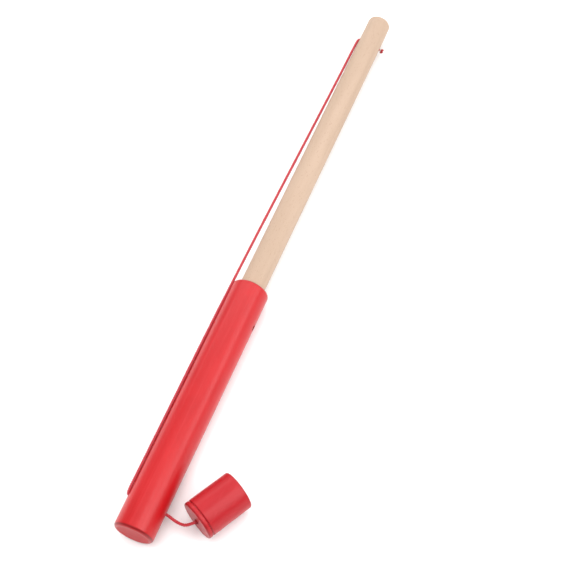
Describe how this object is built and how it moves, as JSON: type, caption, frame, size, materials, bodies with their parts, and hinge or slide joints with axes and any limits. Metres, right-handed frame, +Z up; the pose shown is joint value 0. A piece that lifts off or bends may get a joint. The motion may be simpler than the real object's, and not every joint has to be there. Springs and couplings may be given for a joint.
{
  "type": "wooden plunger toy",
  "caption": "Round lacquered wooden barrel with a closed end, a plain wood plunger rod sliding in its mouth, and a cord from the rod's tip through the barrel to a small tethered cylinder.",
  "frame": {"origin": "on the surface the toy lies on, under the centre of its bounding box measured without the cord", "axes": "+X along the barrel from its closed end towards the rod's tip, +Z up, the cord runs on the +Y side and the tethered cylinder lies on the -Y side"},
  "size_m": [0.411, 0.068, 0.024],
  "materials": {
    "red_lacquer": "satin red lacquer on turned wood",
    "red_lacquer_bob": "satin red lacquer on turned wood",
    "natural_wood": "sanded bare birch or beech dowel",
    "red_cord": "twisted red cord"
  },
  "bodies": {
    "barrel": {"barrel": "red_lacquer", "tether_upper": "red_cord", "crossing_cord": "red_cord", "tether_lower": "red_cord"},
    "plunger": {"plunger_rod": "natural_wood", "tip_cord_stub": "red_cord", "tip_knot": "red_cord"},
    "tether_end": {"bob_root_knot": "red_cord"},
    "bob": {"bob_body": "red_lacquer_bob", "bob_lid": "red_lacquer_bob", "bob_cord_stub": "red_cord", "bob_inner_knot": "red_cord"}
  },
  "joints": [
    {"name": "plunger_slide", "type": "slide", "parent": "barrel", "child": "plunger", "axis": [-1, 0, 0], "range_m": [0, 0.095]},
    {"name": "bob_draw", "type": "slide", "parent": "barrel", "child": "tether_end", "axis": [0.8729, -0.4879, 0], "range_m": [0, 0.095]},
    {"name": "bob_swivel", "type": "hinge", "parent": "tether_end", "child": "bob", "pos_m": [-0.18559, -0.00826, 0.012], "axis": [0, 0, 1], "range_deg": [-60, 30]}
  ],
  "couplings": [
    {"joint": "bob_draw", "follows": "plunger_slide", "ratio": 1}
  ]
}
